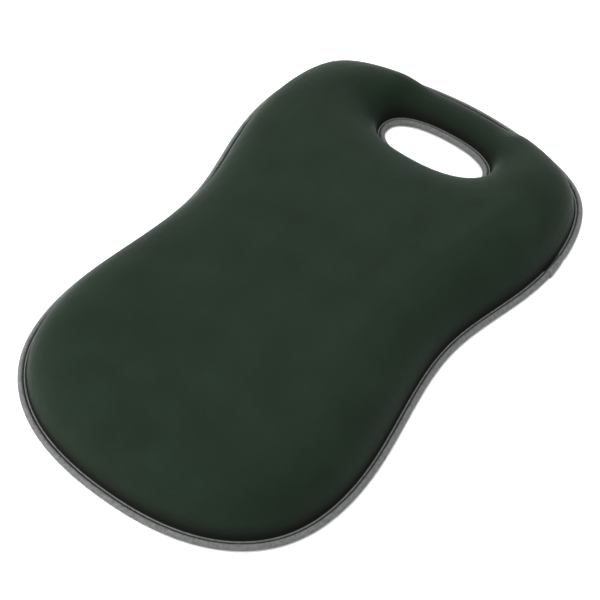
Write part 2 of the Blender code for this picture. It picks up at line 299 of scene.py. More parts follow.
def ray_lengths(foot):
    """Straight distance from each outer foot to the hand hole's foot."""
    gaps = hole_edge + hole_outwards * foot - outer_edge - outer_inwards * foot
    return np.linalg.norm(gaps, axis=1)


def smooth_step(value):
    """Eases from 0 to 1, level at both ends."""
    value = np.clip(value, 0.0, 1.0)
    return value * value * (3 - 2 * value)


def skinned(name, rings, material, closed=True):
    """Mesh over rings of equal count. A closed one joins its last ring to its first."""
    count = len(rings[0])
    faces = []
    for ring in range(len(rings) if closed else len(rings) - 1):
        following = (ring + 1) % len(rings)
        for place in range(count):
            after = (place + 1) % count
            faces.append((ring * count + place, ring * count + after,
                          following * count + after, following * count + place))
    mesh = bpy.data.meshes.new(name)
    mesh.from_pydata([tuple(point) for ring in rings for point in ring], [], faces)
    mesh.materials.append(material)
    mesh.shade_smooth()
    piece = bpy.data.objects.new(name, mesh)
    bpy.context.scene.collection.objects.link(piece)
    return piece


def colour_between(tree, shader, factor, stops, socket="Base Color"):
    """Runs a factor through a ramp of (position, colour) stops into one of the shader's colours."""
    ramp = add_node(tree, "ShaderNodeValToRGB", {"Fac": factor})
    points = ramp.color_ramp.elements
    while len(points) < len(stops):
        points.new(0.5)
    for point, (position, colour) in zip(points, stops):
        point.position = position
        point.color = (*colour, 1.0)
    tree.links.new(ramp.outputs["Color"], shader.inputs[socket])


def add_relief(tree, shader, heights):
    """Chains bumps into the shader, each as its height factor and its depth in metres."""
    normal = None
    for factor, depth in heights:
        inputs = {"Height": factor, "Strength": 1.0, "Distance": depth}
        if normal is not None:
            inputs["Normal"] = normal
        normal = add_node(tree, "ShaderNodeBump", inputs).outputs["Normal"]
    tree.links.new(normal, shader.inputs["Normal"])


def panel_face(height, rim_height):
    """Rings of one face of the panel, from its outer rim to its rim in the hand hole."""
    bend = [smooth_step(step / PANEL_BEND_STEPS) for step in range(PANEL_BEND_STEPS + 1)]
    reaches = [SEAM_WIDTH + PANEL_BEND * step / PANEL_BEND_STEPS for step in range(PANEL_BEND_STEPS + 1)]
    levels = [rim_height + (height - rim_height) * share for share in bend]
    flat = SEAM_WIDTH + PANEL_BEND
    rings = [outer_ring(RIM_SETBACK, rim_height)]
    rings += [outer_ring(reach, level) for reach, level in zip(reaches, levels)]
    for step in range(1, PANEL_CROSS_STEPS):
        plan = along_rays(flat, ray_lengths(flat) * step / PANEL_CROSS_STEPS)
        rings.append(np.column_stack([plan, np.full(OUTLINE_POINTS, height)]))
    rings += [hole_ring(reach, level) for reach, level in zip(reaches[::-1], levels[::-1])]
    rings.append(hole_ring(RIM_SETBACK, rim_height))
    return rings


panel_material, tree, shader, place = new_finish("nonslip_neoprene", 0.72)
shader.inputs["Specular IOR Level"].default_value = 0.35
blotches = add_node(tree, "ShaderNodeTexNoise", {"Vector": place, "Scale": PANEL_BLOTCH_SCALE, "Detail": 4.0})
colour_between(tree, shader, blotches.outputs["Fac"], [(0.3, PANEL_DARK), (0.75, PANEL_LIGHT)])
turned = add_node(tree, "ShaderNodeMapping", {
    "Vector": place, "Rotation": (0.0, 0.0, math.radians(45)), "Scale": (1 / GRIP_DOT_SPACING,) * 3})
dots = add_node(tree, "ShaderNodeTexVoronoi", {
    "Vector": turned.outputs["Vector"], "Scale": 1.0, "Randomness": 0.0}, voronoi_dimensions="2D")
rise = add_node(tree, "ShaderNodeMapRange", {
    "Value": dots.outputs["Distance"], "From Min": GRIP_DOT_FOOT, "From Max": GRIP_DOT_CREST},
    interpolation_type="SMOOTHSTEP")
grain = add_node(tree, "ShaderNodeTexNoise", {"Vector": place, "Scale": PANEL_GRAIN_SCALE, "Detail": 2.0})
add_relief(tree, shader, [
    (rise.outputs["Result"], GRIP_DOT_HEIGHT), (grain.outputs["Fac"], PANEL_GRAIN_HEIGHT)])

panel = skinned("base_panel_sheet",
                panel_face(PANEL_THICKNESS, PANEL_RIM_TOP) + panel_face(0.0, PANEL_RIM_BOTTOM)[::-1],
                panel_material)


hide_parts("base_panel")
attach(panel, "root")


# ---- Firm foam slab -------------------------------------------------------------------------
# Thin slab of grey closed-cell foam that keeps knees off stones. It is die-cut with square edges
# and lies loose on the base panel, inside the bend of its rims.

SLAB_BOTTOM = 0.0023
SLAB_THICKNESS = 0.0050
SLAB_CLEARANCE = 0.0003
SLAB_WALL = SEAM_WIDTH + PANEL_BEND + SLAB_CLEARANCE
SLAB_EDGE_ROUND = 0.0006
SLAB_CROSS_STEPS = 10
SLAB_SHARP_ANGLE = math.radians(40)
SLAB_CELL_SCALE = 1500.0
SLAB_CELL_DEPTH = 0.00025
FIRM_FOAM_DARK = (0.060, 0.060, 0.066)
FIRM_FOAM_LIGHT = (0.145, 0.145, 0.155)

slab_material, tree, shader, place = new_finish("firm_grey_foam", 0.9)
cells = add_node(tree, "ShaderNodeTexVoronoi", {"Vector": place, "Scale": SLAB_CELL_SCALE})
colour_between(tree, shader, cells.outputs["Distance"], [(0.1, FIRM_FOAM_DARK), (0.7, FIRM_FOAM_LIGHT)])
add_relief(tree, shader, [(cells.outputs["Distance"], SLAB_CELL_DEPTH)])

slab_top = SLAB_BOTTOM + SLAB_THICKNESS
slab_cross = [along_rays(SLAB_WALL, ray_lengths(SLAB_WALL) * step / SLAB_CROSS_STEPS)
              for step in range(1, SLAB_CROSS_STEPS)]
slab_rings = [
    outer_ring(SLAB_WALL, SLAB_BOTTOM + SLAB_EDGE_ROUND),
    outer_ring(SLAB_WALL, slab_top - SLAB_EDGE_ROUND),
    outer_ring(SLAB_WALL + SLAB_EDGE_ROUND, slab_top),
    *[np.column_stack([plan, np.full(OUTLINE_POINTS, slab_top)]) for plan in slab_cross],
    hole_ring(SLAB_WALL + SLAB_EDGE_ROUND, slab_top),
    hole_ring(SLAB_WALL, slab_top - SLAB_EDGE_ROUND),
    hole_ring(SLAB_WALL, SLAB_BOTTOM + SLAB_EDGE_ROUND),
    hole_ring(SLAB_WALL + SLAB_EDGE_ROUND, SLAB_BOTTOM),
    *[np.column_stack([plan, np.full(OUTLINE_POINTS, SLAB_BOTTOM)]) for plan in slab_cross[::-1]],
    outer_ring(SLAB_WALL + SLAB_EDGE_ROUND, SLAB_BOTTOM),
]
slab = skinned("firm_foam_slab", slab_rings, slab_material)
slab.data.set_sharp_from_angle(angle=SLAB_SHARP_ANGLE)

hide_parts("firm_foam_base")
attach(slab, "root")


# ---- Memory foam ----------------------------------------------------------------------------
# Thick block of cream memory foam that takes the knees. Its top is moulded to the domed cover,
# it thins out over the handle, and it lies on the firm slab.

EDGE_ROUNDING = 0.0455
HOLE_ROUNDING = 0.038
ROUNDING_POWER = 2.0
HANDLE_THICKNESS = 0.0170
HANDLE_FADE = 0.030
COVER_RIM_TOP = 0.0041

COVER_THICKNESS = 0.0025
FOAM_CLEARANCE = 0.0003
FOAM_BOTTOM = 0.0076
WALL_SHARE = 0.42
WALL_STEPS = 13
HOLE_STEPS = 11
CROWN_STEPS = 26
FOAM_SHARP_ANGLE = math.radians(60)
PORE_SCALE = 1100.0
PORE_DEPTH = 0.0003
MEMORY_FOAM_DARK = (0.55, 0.49, 0.33)
MEMORY_FOAM_LIGHT = (0.78, 0.72, 0.55)

outer_guide = outer_outline(GUIDE_POINTS)
hole_guide = hole_outline_at(np.arange(GUIDE_POINTS) * 2 * math.pi / GUIDE_POINTS)


def nearest(plan, guide):
    """Distance from each plan point to the nearest point of a guide line."""
    gaps = plan[:, None, :] - guide[None, :, :]
    return np.sqrt((gaps**2).sum(axis=2).min(axis=1))


def rounding(share):
    """Rise of the rounded wall, from 0 at its foot to 1 where the top is level."""
    share = np.clip(share, 0.0, 1.0)
    return (1 - (1 - share) ** ROUNDING_POWER) ** (1 / ROUNDING_POWER)


def crown_height(plan):
    """Full thickness over the cushion, easing down to the thin handle past the hand hole."""
    strip = HANDLE_DEPTH / 2 - SEAM_WIDTH
    middle_rise = rounding(strip / EDGE_ROUNDING) * rounding(strip / HOLE_ROUNDING)
    handle_crown = COVER_RIM_TOP + (HANDLE_THICKNESS - COVER_RIM_TOP) / middle_rise
    past = plan - HOLE_CENTRE
    sideways = smooth_step((HAND_HOLE_LENGTH / 2 + HANDLE_FADE / 2 - np.abs(past[:, 0])) / HANDLE_FADE)
    beyond = smooth_step(past[:, 1] / (HAND_HOLE_WIDTH / 2 + SEAM_WIDTH))
    return PAD_THICKNESS - (PAD_THICKNESS - handle_crown) * sideways * beyond


def cushion_height(plan, inset):
    """Height of the cushion's surface, or of the surface that lies an inset inside it."""
    past_outer = nearest(plan, outer_guide) - SEAM_WIDTH - inset
    past_hole = nearest(plan, hole_guide) - SEAM_WIDTH - inset
    rise = rounding(past_outer / (EDGE_ROUNDING - inset)) * rounding(past_hole / (HOLE_ROUNDING - inset))
    return COVER_RIM_TOP + (crown_height(plan) - COVER_RIM_TOP - inset) * rise


def wall_shares(steps):
    """Shares of a rounded wall's width, closest together at its steep foot."""
    return [1 - math.cos(step / steps * math.pi / 2) for step in range(1, steps + 1)]


def cushion_plans(foot):
    """Plan rings from the outer foot to the hand hole's foot."""
    length = ray_lengths(foot)
    outer_width = np.minimum(EDGE_ROUNDING + SEAM_WIDTH - foot, WALL_SHARE * length)
    hole_width = np.minimum(HOLE_ROUNDING + SEAM_WIDTH - foot, WALL_SHARE * length)
    middle = length - outer_width - hole_width
    travels = [outer_width * share for share in wall_shares(WALL_STEPS)]
    travels += [outer_width + middle * step / CROWN_STEPS for step in range(1, CROWN_STEPS)]
    travels += [length - hole_width * share for share in reversed(wall_shares(HOLE_STEPS))]
    return [along_rays(foot, travel) for travel in travels]


foam_material, tree, shader, place = new_finish("cream_memory_foam", 0.95)
shader.inputs["Subsurface Weight"].default_value = 0.1
shader.inputs["Subsurface Scale"].default_value = 0.002
pores = add_node(tree, "ShaderNodeTexVoronoi", {"Vector": place, "Scale": PORE_SCALE})
colour_between(tree, shader, pores.outputs["Distance"], [(0.05, MEMORY_FOAM_DARK), (0.5, MEMORY_FOAM_LIGHT)])
add_relief(tree, shader, [(pores.outputs["Distance"], PORE_DEPTH)])

foam_foot = SEAM_WIDTH + COVER_THICKNESS
foam_plans = cushion_plans(foam_foot)
foam_rings = [np.column_stack([plan, cushion_height(plan, COVER_THICKNESS) - FOAM_CLEARANCE])
              for plan in foam_plans]
foam_rings = [ring for ring in foam_rings if ring[:, 2].min() > FOAM_BOTTOM]
foam_floor = [np.column_stack([ring[:, :2], np.full(OUTLINE_POINTS, FOAM_BOTTOM)])
              for ring in (foam_rings[-1], foam_rings[0])]
foam = skinned("memory_foam_block", foam_rings + foam_floor, foam_material)
foam.data.set_sharp_from_angle(angle=FOAM_SHARP_ANGLE)

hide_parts("memory_foam_layer")
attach(foam, "root")


# ---- Top cover ------------------------------------------------------------------------------
# Moulded sheet of green neoprene with a smooth knit face. It is domed tight over the foam, dips
# to the thin handle and the hand hole, and both its rims are pressed flat for sewing.

COVER_SHELL = 0.0024
COVER_RIM_SHELL = 0.0009
START_INSET = 0.0008
AIR_PRESSURE = 4.0
SETTLING_FRAMES = 20
LARGEST_SWELL = 0.0014
EASING_PASSES = 12
CLOTH_MASS = 0.3
CLOTH_STIFFNESS = 15.0
BENDING_STIFFNESS = 2.0
CLOTH_QUALITY = 5

# Painted shade on the low walls: below the lower of the two heights the knit's colour and gloss tint turn
# darker and browner. They ease back to the plain knit by the upper height.
KNIT_PAINTED_SHADE = (0.0030, 0.0030, 0.0023)
KNIT_DARK = (0.0030, 0.0068, 0.0034)
KNIT_LIGHT = (0.0046, 0.0100, 0.0050)
GLOSS_PAINTED_SHADE = (0.64, 0.64, 0.56)
KNIT_GLOSS = (0.76, 1.0, 0.80)
PAINTED_SHADE_HEIGHTS = (0.005, 0.019)
KNIT_SHEEN = (0.75, 1.0, 0.88)
KNIT_SHADE_SCALE = 28.0
KNIT_LOOP_SCALE = 1250.0
KNIT_LOOP_DEPTH = 0.00016
KNIT_CELL_SCALE = 160.0
KNIT_CELL_DEPTH = 0.00030

cover_material, tree, shader, place = new_finish("green_knit_neoprene", 0.78)
shader.inputs["Specular IOR Level"].default_value = 0.165
shader.inputs["Sheen Weight"].default_value = 0.11
shader.inputs["Sheen Roughness"].default_value = 0.26
shader.inputs["Sheen Tint"].default_value = (*KNIT_SHEEN, 1.0)
shading = add_node(tree, "ShaderNodeTexNoise", {"Vector": place, "Scale": KNIT_SHADE_SCALE, "Detail": 5.0})
# Painted shade: the colour and gloss tint darken towards the bottom of the cover, by height above the ground.
height = add_node(tree, "ShaderNodeSeparateXYZ", {0: place}).outputs["Z"]
out_of_painted_shade = add_node(tree, "ShaderNodeMapRange", {
    "Value": height, "From Min": PAINTED_SHADE_HEIGHTS[0], "From Max": PAINTED_SHADE_HEIGHTS[1]}).outputs["Result"]
tone = add_node(
    tree, "ShaderNodeMath", {0: out_of_painted_shade, 1: shading.outputs["Fac"]}, operation="MULTIPLY").outputs[0]
colour_between(tree, shader, tone, [(0.0, KNIT_PAINTED_SHADE), (0.35, KNIT_DARK), (0.7, KNIT_LIGHT)])
colour_between(tree, shader, out_of_painted_shade, [(0.0, GLOSS_PAINTED_SHADE), (1.0, KNIT_GLOSS)], "Specular Tint")
knit = add_node(tree, "ShaderNodeTexVoronoi", {"Vector": place, "Scale": KNIT_LOOP_SCALE})
cells = add_node(tree, "ShaderNodeTexNoise", {"Vector": place, "Scale": KNIT_CELL_SCALE, "Detail": 2.0})
add_relief(tree, shader, [
    (knit.outputs["Distance"], KNIT_LOOP_DEPTH), (cells.outputs["Fac"], KNIT_CELL_DEPTH)])

cover_plans = cushion_plans(SEAM_WIDTH + START_INSET)
cover_rings = [outer_ring(RIM_SETBACK, COVER_RIM_TOP), outer_ring(SEAM_WIDTH, COVER_RIM_TOP)]
cover_rings += [np.column_stack([plan, cushion_height(plan, START_INSET)]) for plan in cover_plans]
cover_rings += [hole_ring(SEAM_WIDTH, COVER_RIM_TOP), hole_ring(RIM_SETBACK, COVER_RIM_TOP)]
cover = skinned("domed_cover", cover_rings, cover_material, closed=False)

rim_rings = [0, 1, len(cover_rings) - 2, len(cover_rings) - 1]
rim_points = [ring * OUTLINE_POINTS + point for ring in rim_rings for point in range(OUTLINE_POINTS)]
sewn = cover.vertex_groups.new(name="sewn")
sewn.add(rim_points, 1.0, "REPLACE")
full = cover.vertex_groups.new(name="full_thickness")
full.add([point for point in range(len(cover.data.vertices)) if point not in set(rim_points)], 1.0, "REPLACE")


def read_places(mesh):
    places = np.empty(len(mesh.vertices) * 3)
    mesh.vertices.foreach_get("co", places)
    return places.reshape(-1, 3)


def read_normals(mesh):
    normals = np.empty(len(mesh.vertices) * 3)
    mesh.vertices.foreach_get("normal", normals)
    return normals.reshape(-1, 3)


def eased(lifts):
    """Evens out the lifts over the cover, so that none ends in a crease."""
    grid = lifts.reshape(-1, OUTLINE_POINTS)
    for _ in range(EASING_PASSES):
        beside = (np.roll(grid, 1, axis=1) + np.roll(grid, -1, axis=1)) / 2
        across = grid.copy()
        across[1:-1] = (grid[:-2] + grid[2:]) / 2
        grid = (grid + beside + across) / 3
    grid[:2] = 0.0
    grid[-2:] = 0.0
    return grid.ravel()


def swell(piece):
    """Lets the cover settle as cloth that the foam holds out, moving outwards up to the cap."""
    cloth = piece.modifiers.new("settling", "CLOTH")
    cloth.settings.quality = CLOTH_QUALITY
    cloth.settings.mass = CLOTH_MASS
    cloth.settings.tension_stiffness = CLOTH_STIFFNESS
    cloth.settings.compression_stiffness = CLOTH_STIFFNESS
    cloth.settings.bending_stiffness = BENDING_STIFFNESS
    cloth.settings.use_pressure = True
    cloth.settings.uniform_pressure_force = AIR_PRESSURE
    cloth.settings.vertex_group_mass = "sewn"
    cloth.settings.effector_weights.gravity = 0.0
    cloth.collision_settings.use_collision = False
    cloth.point_cache.frame_start = 1
    cloth.point_cache.frame_end = SETTLING_FRAMES
    for moment in range(1, SETTLING_FRAMES + 1):
        bpy.context.scene.frame_set(moment)
    settled = piece.evaluated_get(bpy.context.evaluated_depsgraph_get())
    start = read_places(piece.data)
    moves = read_places(settled.data) - start
    piece.modifiers.remove(cloth)
    bpy.context.scene.frame_set(1)
    outwards = read_normals(piece.data)
    lifts = np.clip((moves * outwards).sum(axis=1), 0.0, LARGEST_SWELL)
    piece.data.vertices.foreach_set("co", (start + outwards * eased(lifts)[:, None]).ravel())
    piece.data.update()


swell(cover)

shell = cover.modifiers.new("shell", "SOLIDIFY")
shell.thickness = COVER_SHELL
shell.offset = -1.0
shell.vertex_group = "full_thickness"
shell.thickness_vertex_group = COVER_RIM_SHELL / COVER_SHELL
fine = cover.modifiers.new("fine", "SUBSURF")
fine.levels = 1
fine.render_levels = 1

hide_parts("top_cover")
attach(cover, "root")


# ---- Edge binding ---------------------------------------------------------------------------
# Grey woven tape folded round the sewn edge of both sheets and stitched through. One end laps over
# the other on the pad's right side, beside the waist.

BINDING_PATH_STEP = 0.00095
BINDING_SECTION_POINTS = 46
LAP_PLACE = 0.8368
LAP_LENGTH = 0.022
LAP_LIFT = 0.0018
LAP_GROUND_GAP = 0.0002
STITCH_SETBACK = 0.0043
STITCH_PITCH = 0.0038
STITCH_DENT = 0.00018
GROOVE_HALF_WIDTH = 0.0008

# Section of the folded tape, as distances from the pad's edge and heights above the ground
TAPE_OUTSIDE = [
    (0.0055, 0.00115), (0.0052, 0.00088), (0.0048, 0.00092), (0.0044, 0.00130), (0.0039, 0.00086),
    (0.0030, 0.00062), (0.0020, 0.00070), (0.0010, 0.00120), (0.0003, 0.00205), (0.0000, 0.00305),
    (0.0003, 0.00405), (0.0010, 0.00495), (0.0019, 0.00558), (0.0028, 0.00578), (0.0034, 0.00552),
    (0.0039, 0.00482), (0.0043, 0.00446), (0.0047, 0.00456), (0.0050, 0.00500), (0.0054, 0.00520),
    (0.0058, 0.00500),
]
TAPE_INSIDE = [
    (0.0060, 0.00465), (0.0058, 0.00440), (0.0052, 0.00430), (0.0045, 0.00420), (0.0038, 0.00432),
    (0.0030, 0.00462), (0.0021, 0.00475), (0.0014, 0.00420), (0.0009, 0.00305), (0.0014, 0.00185),
    (0.0025, 0.00150), (0.0034, 0.00155), (0.0044, 0.00172), (0.0050, 0.00156), (0.0054, 0.00145),
]
TAPE_MIDDLE = 0.0030

TAPE_DARK = (0.050, 0.0515, 0.0515)
TAPE_LIGHT = (0.130, 0.133, 0.133)
# Painted shade in the stitch groove: there the tape's colour is pulled down towards a near-black colour, on
# top of the groove's dent in the geometry.
TAPE_GROOVE_SHADE = (0.006, 0.006, 0.006)
TAPE_SEAM_SHADE = 0.80
RIB_PERIOD = 0.0006
RIB_SLANT = math.radians(28)
RIB_SHARE = 0.35
RIB_HEIGHT = 0.00008
TAPE_MOTTLE_SCALE = 420.0
TAPE_MOTTLE_HEIGHT = 0.00012
WAVE_PERIOD_AT_SCALE_ONE = 0.314


def path_object(name, plan):
    """Closed line on the ground for a tape or a row of stitches to follow."""
    curve = bpy.data.curves.new(name, "CURVE")
    curve.dimensions = "3D"
    spline = curve.splines.new("POLY")
    spline.points.add(len(plan) - 1)
    spline.points.foreach_set("co", np.column_stack([plan, np.zeros(len(plan)), np.ones(len(plan))]).ravel())
    spline.use_cyclic_u = True
    holder = bpy.data.objects.new(name, curve)
    bpy.context.scene.collection.objects.link(holder)
    return holder


def section_object(name):
    """Tape's section as a closed line, with how much of the stitch groove each point takes."""
    section = closed_spline(TAPE_OUTSIDE + TAPE_INSIDE, BINDING_SECTION_POINTS)
    mesh = bpy.data.meshes.new(name)
    count = len(section)
    sides = [(row, (row + 1) % count) for row in range(count)]
    mesh.from_pydata([(x, y, 0.0) for x, y in section], sides, [])
    groove = mesh.attributes.new("groove", "FLOAT", "POINT")
    off_line = np.abs(section[:, 0] - STITCH_SETBACK) / GROOVE_HALF_WIDTH
    groove.data.foreach_set("value", smooth_step(1.0 - off_line))
    holder = bpy.data.objects.new(name, mesh)
    bpy.context.scene.collection.objects.link(holder)
    return holder


def new_geometry_tree(name, inputs):
    """Geometry tree with named inputs, each as its name, its socket kind and its first value."""
    tree = bpy.data.node_groups.new(name, "GeometryNodeTree")
    tree.interface.new_socket("Geometry", in_out="INPUT", socket_type="NodeSocketGeometry")
    for label, kind, value in inputs:
        socket = tree.interface.new_socket(label, in_out="INPUT", socket_type=kind)
        if value is not None:
            socket.default_value = value
    tree.interface.new_socket("Geometry", in_out="OUTPUT", socket_type="NodeSocketGeometry")
    return tree, tree.nodes.new("NodeGroupInput").outputs


def math_node(tree, operation, *values):
    return add_node(tree, "ShaderNodeMath", dict(enumerate(values)), operation=operation).outputs[0]


def vector_node(tree, operation, *values):
    return add_node(tree, "ShaderNodeVectorMath", dict(enumerate(values)), operation=operation).outputs[0]


def scaled(tree, vector, factor):
    return add_node(tree, "ShaderNodeVectorMath", {0: vector, "Scale": factor}, operation="SCALE").outputs[0]


def captured(tree, geometry, items):
    """Stores fields on a geometry's points, and gives the geometry and the stored fields."""
    node = add_node(tree, "GeometryNodeCaptureAttribute", {"Geometry": geometry}, domain="POINT")
    for kind, label, field in items:
        node.capture_items.new(kind, label)
        tree.links.new(field, node.inputs[label])
    return node.outputs["Geometry"], [node.outputs[label] for kind, label, field in items]


def lap_share(tree, along, given):
    """1 where the tape's end lies over its start, easing to 0 where the lap is used up."""
    left = math_node(tree, "SUBTRACT", 1.0, math_node(tree, "DIVIDE", along, given["Lap Length"]))
    return math_node(tree, "POWER", math_node(tree, "MAXIMUM", left, 0.0), 0.5)


def folded_tape_tree():
    """Sweeps the tape's section along its path, with a dent at each stitch and a lap at its start."""
    tree, given = new_geometry_tree("folded_tape", [
        ("Section", "NodeSocketObject", None), ("Material", "NodeSocketMaterial", None),
        ("Step", "NodeSocketFloat", BINDING_PATH_STEP), ("Stitch Pitch", "NodeSocketFloat", STITCH_PITCH),
        ("Stitch Dent", "NodeSocketFloat", STITCH_DENT), ("Lap Length", "NodeSocketFloat", LAP_LENGTH),
        ("Lap Lift", "NodeSocketFloat", LAP_LIFT), ("Ground Gap", "NodeSocketFloat", LAP_GROUND_GAP)])
    up = (0.0, 0.0, 1.0)
    path = add_node(tree, "GeometryNodeResampleCurve",
                    {"Curve": given["Geometry"], "Length": given["Step"]}, mode="LENGTH")
    tangent = add_node(tree, "GeometryNodeInputTangent").outputs[0]
    position = add_node(tree, "GeometryNodeInputPosition").outputs[0]
    travelled = add_node(tree, "GeometryNodeSplineParameter").outputs["Length"]
    line, (foot, inwards, along) = captured(tree, path.outputs["Curve"], [
        ("VECTOR", "Foot", position), ("VECTOR", "Inwards", vector_node(tree, "CROSS_PRODUCT", up, tangent)),
        ("FLOAT", "Along", travelled)])
    held = add_node(tree, "GeometryNodeObjectInfo", {"Object": given["Section"]})
    ring = add_node(tree, "GeometryNodeMeshToCurve", {"Mesh": held.outputs["Geometry"]})
    groove = add_node(tree, "GeometryNodeInputNamedAttribute", {"Name": "groove"}, data_type="FLOAT")
    profile, (shape, across, dented, side) = captured(tree, ring.outputs["Curve"], [
        ("VECTOR", "Shape", position), ("FLOAT", "Across", travelled),
        ("FLOAT", "Dented", groove.outputs["Attribute"]), ("VECTOR", "Side", tangent)])
    swept = add_node(tree, "GeometryNodeCurveToMesh", {"Curve": line, "Profile Curve": profile})

    parts = add_node(tree, "ShaderNodeSeparateXYZ", {0: shape})
    sides = add_node(tree, "ShaderNodeSeparateXYZ", {0: side})
    turn = math_node(tree, "MULTIPLY", math.tau, math_node(tree, "DIVIDE", along, given["Stitch Pitch"]))
    pull = math_node(tree, "ADD", 0.5, math_node(tree, "MULTIPLY", 0.5, math_node(tree, "COSINE", turn)))
    dent = math_node(tree, "MULTIPLY", math_node(tree, "MULTIPLY", pull, dented), given["Stitch Dent"])
    middle = math_node(tree, "SUBTRACT", parts.outputs["Y"], TAPE_MIDDLE)
    inward_pull = math_node(tree, "MULTIPLY", dent, math_node(tree, "SIGN", middle))
    lift = math_node(tree, "MULTIPLY", lap_share(tree, along, given), given["Lap Lift"])
    distance = math_node(tree, "ADD", parts.outputs["X"],
                         math_node(tree, "MULTIPLY", lift, sides.outputs["Y"]))
    height = math_node(tree, "SUBTRACT", parts.outputs["Y"], inward_pull)
    height = math_node(tree, "SUBTRACT", height, math_node(tree, "MULTIPLY", lift, sides.outputs["X"]))
    height = math_node(tree, "MAXIMUM", height, given["Ground Gap"])
    reach = vector_node(tree, "ADD", foot, scaled(tree, inwards, distance))
    goal = vector_node(tree, "ADD", reach, scaled(tree, up, height))
    placed = add_node(tree, "GeometryNodeSetPosition", {"Geometry": swept.outputs["Mesh"], "Position": goal})
    # The third value is the groove share, which the tape's finish uses to paint shade in the stitch groove.
    weave = add_node(tree, "ShaderNodeCombineXYZ", {"X": along, "Y": across, "Z": dented})
    stored = add_node(tree, "GeometryNodeStoreNamedAttribute", {
        "Geometry": placed.outputs["Geometry"], "Name": "weave", "Value": weave.outputs[0]},
        data_type="FLOAT_VECTOR", domain="POINT")
    smooth = add_node(tree, "GeometryNodeSetShadeSmooth", {"Geometry": stored.outputs["Geometry"]})
    whole = add_node(tree, "GeometryNodeRealizeInstances", {"Geometry": smooth.outputs["Geometry"]})
    worn = add_node(tree, "GeometryNodeSetMaterial",
                    {"Geometry": whole.outputs["Geometry"], "Material": given["Material"]})
    add_node(tree, "NodeGroupOutput", {"Geometry": worn.outputs["Geometry"]})
    return tree


def built(name, holder, tree, values):
    """Plain mesh piece from a path and a geometry tree, with the tree's inputs set by name."""
    modifier = holder.modifiers.new("build", "NODES")
    modifier.node_group = tree
    sockets = {item.name: item.identifier for item in tree.interface.items_tree if item.in_out == "INPUT"}
    for label, value in values.items():
        modifier[sockets[label]] = value
    ready = holder.evaluated_get(bpy.context.evaluated_depsgraph_get())
    mesh = bpy.data.meshes.new_from_object(ready)
    mesh.name = name
    shape = bmesh.new()
    shape.from_mesh(mesh)
    bmesh.ops.recalc_face_normals(shape, faces=shape.faces)
    shape.to_mesh(mesh)
    shape.free()
    holder.modifiers.remove(modifier)
    piece = bpy.data.objects.new(name, mesh)
    bpy.context.scene.collection.objects.link(piece)
    return piece


tape_material, tree, shader, place = new_finish("grey_binding_tape", 0.68)
shader.inputs["Specular IOR Level"].default_value = 0.30
shader.inputs["Sheen Weight"].default_value = 0.08
shader.inputs["Sheen Roughness"].default_value = 0.5
weave = add_node(tree, "ShaderNodeAttribute", attribute_name="weave").outputs["Vector"]
groove_shade_mask = add_node(tree, "ShaderNodeSeparateXYZ", {0: weave}).outputs["Z"]
slanted = add_node(tree, "ShaderNodeMapping", {
    "Vector": weave, "Rotation": (0.0, 0.0, RIB_SLANT), "Scale": (1.0, 1.0, 0.0)})
ribs = add_node(tree, "ShaderNodeTexWave", {
    "Vector": slanted.outputs["Vector"], "Scale": WAVE_PERIOD_AT_SCALE_ONE / RIB_PERIOD,
    "Distortion": 0.6, "Detail": 1.0})
shading = add_node(tree, "ShaderNodeTexNoise", {"Vector": place, "Scale": TAPE_MOTTLE_SCALE, "Detail": 4.0})
mixed = math_node(tree, "ADD", math_node(tree, "MULTIPLY", ribs.outputs["Fac"], RIB_SHARE),
                  math_node(tree, "MULTIPLY", shading.outputs["Fac"], 1 - RIB_SHARE))
# Painted shade: the tone is lowered along the stitch groove.
groove_shaded_tone = math_node(tree, "SUBTRACT", mixed, math_node(tree, "MULTIPLY", groove_shade_mask, TAPE_SEAM_SHADE))
colour_between(tree, shader, groove_shaded_tone, [
    (0.0, TAPE_GROOVE_SHADE), (0.34, TAPE_DARK), (0.66, TAPE_LIGHT)])
add_relief(tree, shader, [
    (ribs.outputs["Fac"], RIB_HEIGHT), (shading.outputs["Fac"], TAPE_MOTTLE_HEIGHT)])

tape_tree = folded_tape_tree()
tape_section = section_object("tape_section")
edge_path = path_object("edge_path", np.roll(outer_guide, -round(LAP_PLACE * GUIDE_POINTS), axis=0))
edge_length = np.linalg.norm(np.roll(outer_guide, -1, axis=0) - outer_guide, axis=1).sum()
edge_stitches = round(edge_length / STITCH_PITCH)
edge_tape = built("folded_edge_tape", edge_path, tape_tree, {
    "Section": tape_section, "Material": tape_material, "Stitch Pitch": edge_length / edge_stitches})

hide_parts("edge_binding")
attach(edge_tape, "root")


# ---- Hand hole binding ----------------------------------------------------------------------
# The same grey tape, folded round the sheets' edges in the hand hole and stitched through.

hole_length = np.linalg.norm(np.roll(hole_guide, -1, axis=0) - hole_guide, axis=1).sum()
hole_stitches = round(hole_length / STITCH_PITCH)
hole_path = path_object("hole_path", np.roll(hole_guide, -GUIDE_POINTS // 4, axis=0)[::-1])
hole_tape = built("folded_hole_tape", hole_path, tape_tree, {
    "Section": tape_section, "Material": tape_material, "Stitch Pitch": hole_length / hole_stitches,
    "Lap Lift": 0.0})
bpy.data.objects.remove(tape_section, do_unlink=True)

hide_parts("hand_hole_binding")
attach(hole_tape, "root")


# ---- Stitches -------------------------------------------------------------------------------
# Lockstitch in dark polyester thread through the bindings and both sheets: the needle thread on
# top, the bobbin thread below. Each stitch is an arch of thread that dives into the tape.

THREAD_DIAMETER = 0.00074
STITCH_LENGTH = 0.0034
STITCH_ARCH = 0.00055
STITCH_SINK = 0.00045
NEEDLE_HEIGHT = 0.00478
BOBBIN_HEIGHT = 0.00100
STITCH_TILT = 0.06
STITCH_SEED = 7
THREAD_DARK = (0.002, 0.002, 0.002)
THREAD_LIGHT = (0.008, 0.008, 0.008)
STRAND_SCALE = 2600.0
STRAND_DEPTH = 0.00008


